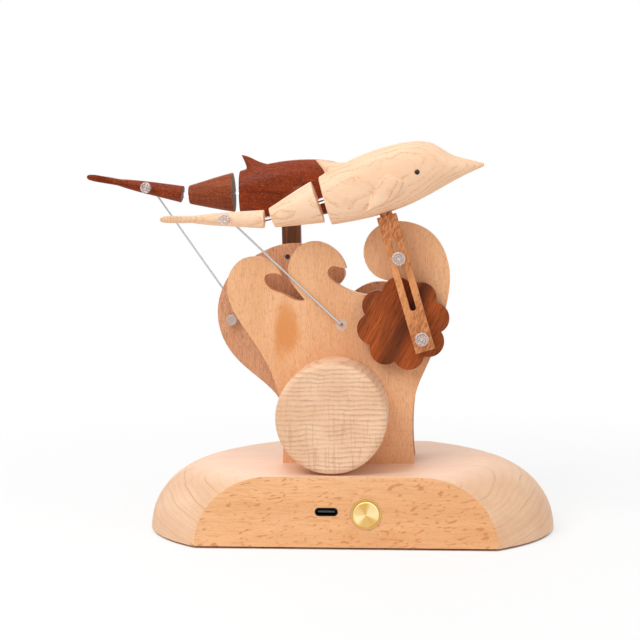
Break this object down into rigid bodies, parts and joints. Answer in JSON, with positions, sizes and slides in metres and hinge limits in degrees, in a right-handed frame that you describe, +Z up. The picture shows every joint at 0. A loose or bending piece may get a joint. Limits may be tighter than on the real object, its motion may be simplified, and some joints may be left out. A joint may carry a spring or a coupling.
{
  "type": "wooden crank automaton",
  "caption": "Tabletop wooden automaton: two jointed dolphins ride slotted crank levers on wave-shaped plates over a rounded motor base.",
  "frame": {"origin": "centre of the base's underside, on the surface it stands on", "axes": "+X along the base to the right seen from the front, +Y from front to back, +Z up"},
  "size_m": [0.2038, 0.0862, 0.1614],
  "materials": {
    "base_beech": "satin",
    "plate_beech": "satin",
    "housing_beech": "satin",
    "disc_red_wood": "satin",
    "front_lever_wood": "satin",
    "rear_lever_walnut": "satin",
    "pale_dolphin_wood": "satin",
    "red_dolphin_wood": "semi-gloss",
    "cover_ply": "matte",
    "pad_rubber": "matte",
    "brass": "spun",
    "steel": "bright",
    "black_plastic": "matte",
    "gear_nylon": "satin",
    "board_green": "satin",
    "cell_film": "satin",
    "clear_plastic": "clear",
    "eye_black": "gloss",
    "socket_black": "black"
  },
  "bodies": {
    "base": {"base_block": "base_beech", "bottom_cover": "cover_ply", "cover_screws": "steel", "non_slip_pad": "pad_rubber", "usb_c_socket": "socket_black", "usb_c_tongue": "black_plastic", "circuit_board": "board_green", "board_screws": "steel", "battery_cell": "cell_film", "button_bush": "brass", "push_switch": "black_plastic", "front_wave_plate": "plate_beech", "rear_wave_plate": "plate_beech", "plate_spacers": "plate_beech", "spacer_screws": "steel", "plate_screws": "steel", "motor_housing": "housing_beech", "housing_screws": "steel", "gear_motor": "steel", "transfer_axle": "steel", "crank_bushes": "brass", "guide_pins": "steel", "guide_caps": "clear_plastic", "anchor_bushes": "clear_plastic"},
    "button": {"brass_button": "brass"},
    "motor_shaft": {"motor_shaft": "steel", "drive_pinion": "gear_nylon"},
    "transfer_gear": {"transfer_gear": "gear_nylon"},
    "front_crank": {"front_crank_gear": "gear_nylon", "front_crankshaft": "steel", "front_crank_disc": "disc_red_wood", "front_crank_pin": "steel"},
    "front_sleeve": {"front_guide_sleeve": "brass"},
    "front_dolphin": {"front_lever": "front_lever_wood", "front_dolphin_body": "pale_dolphin_wood", "front_dolphin_eyes": "eye_black", "front_crank_cap": "clear_plastic"},
    "front_waist": {"front_dolphin_waist": "pale_dolphin_wood", "front_waist_cord": "clear_plastic"},
    "front_tail": {"front_dolphin_tail": "pale_dolphin_wood", "front_tail_pin": "clear_plastic", "front_tail_cord": "clear_plastic"},
    "front_wire": {"front_link_wire": "steel"},
    "rear_crank": {"rear_crank_gear": "gear_nylon", "rear_crankshaft": "steel", "rear_crank_disc": "disc_red_wood", "rear_crank_pin": "steel"},
    "rear_sleeve": {"rear_guide_sleeve": "brass"},
    "rear_dolphin": {"rear_lever": "rear_lever_walnut", "rear_dolphin_body": "red_dolphin_wood", "rear_dolphin_eyes": "eye_black", "rear_crank_cap": "clear_plastic"},
    "rear_waist": {"rear_dolphin_waist": "red_dolphin_wood", "rear_waist_cord": "clear_plastic"},
    "rear_tail": {"rear_dolphin_tail": "red_dolphin_wood", "rear_tail_pin": "clear_plastic", "rear_tail_cord": "clear_plastic"},
    "rear_wire": {"rear_link_wire": "steel", "rear_anchor_cap": "clear_plastic"}
  },
  "joints": [
    {"name": "transfer_gear_turn", "type": "hinge", "parent": "base", "child": "transfer_gear", "pos_m": [-0.00225, 0, 0.07442], "axis": [0, 1, 0], "continuous": true},
    {"name": "motor_shaft_turn", "type": "hinge", "parent": "base", "child": "motor_shaft", "pos_m": [-0.0058, 0, 0.05119], "axis": [0, 1, 0], "continuous": true},
    {"name": "button_press", "type": "slide", "parent": "base", "child": "button", "axis": [0, 1, 0], "range_m": [0, 0.0008], "stiffness_N_per_m": 900, "springref_m": -0.0006},
    {"name": "front_crank_turn", "type": "hinge", "parent": "base", "child": "front_crank", "pos_m": [0.0221, 0, 0.0872], "axis": [0, 1, 0], "continuous": true},
    {"name": "front_lever_swing", "type": "hinge", "parent": "base", "child": "front_sleeve", "pos_m": [0.0205, -0.0232, 0.1139], "axis": [0, 1, 0], "range_deg": [-8.42, 33.64]},
    {"name": "front_lever_slide", "type": "slide", "parent": "front_sleeve", "child": "front_dolphin", "axis": [-0.2763, 0, 0.9611], "range_m": [-0.00263, 0.01657]},
    {"name": "front_waist_bend", "type": "hinge", "parent": "front_dolphin", "child": "front_waist", "pos_m": [-0.0108, -0.0232, 0.13734], "axis": [0, 1, 0], "range_deg": [-14.5, 3], "stiffness_Nm_per_rad": 0.02, "deforming": ["front_waist_cord"]},
    {"name": "front_tail_bend", "type": "hinge", "parent": "front_waist", "child": "front_tail", "pos_m": [-0.03254, -0.0232, 0.12984], "axis": [0, 1, 0], "range_deg": [-42.05, 8.7], "deforming": ["front_tail_cord"]},
    {"name": "front_wire_swing", "type": "hinge", "parent": "base", "child": "front_wire", "pos_m": [-0.0036, -0.0232, 0.0863], "axis": [0, 1, 0], "range_deg": [-27, 6.2]},
    {"name": "rear_crank_turn", "type": "hinge", "parent": "base", "child": "rear_crank", "pos_m": [-0.0266, 0, 0.0872], "axis": [0, 1, 0], "continuous": true},
    {"name": "rear_lever_swing", "type": "hinge", "parent": "base", "child": "rear_sleeve", "pos_m": [-0.0282, 0.0232, 0.1139], "axis": [0, 1, 0], "range_deg": [-23.26, 18.81]},
    {"name": "rear_lever_slide", "type": "slide", "parent": "rear_sleeve", "child": "rear_dolphin", "axis": [-0.021, 0, 0.9998], "range_m": [-0.00008, 0.01912]},
    {"name": "rear_waist_bend", "type": "hinge", "parent": "rear_dolphin", "child": "rear_waist", "pos_m": [-0.0524, 0.0232, 0.14203], "axis": [0, 1, 0], "range_deg": [-14.5, 7], "stiffness_Nm_per_rad": 0.02, "deforming": ["rear_waist_cord"]},
    {"name": "rear_tail_bend", "type": "hinge", "parent": "rear_waist", "child": "rear_tail", "pos_m": [-0.07537, 0.0232, 0.14082], "axis": [0, 1, 0], "range_deg": [-42.05, 20.3], "deforming": ["rear_tail_cord"]},
    {"name": "rear_wire_swing", "type": "hinge", "parent": "base", "child": "rear_wire", "pos_m": [-0.0519, 0.0232, 0.0867], "axis": [0, 1, 0], "range_deg": [-14.6, 14.2]}
  ],
  "couplings": [
    {"joint": "motor_shaft_turn", "follows": "transfer_gear_turn", "ratio": -2.9167},
    {"joint": "front_crank_turn", "follows": "transfer_gear_turn", "ratio": -1.75},
    {"joint": "rear_crank_turn", "follows": "transfer_gear_turn", "ratio": -1.75},
    {"joint": "front_tail_bend", "follows": "front_waist_bend", "ratio": 2.9},
    {"joint": "rear_tail_bend", "follows": "rear_waist_bend", "ratio": 2.9}
  ]
}
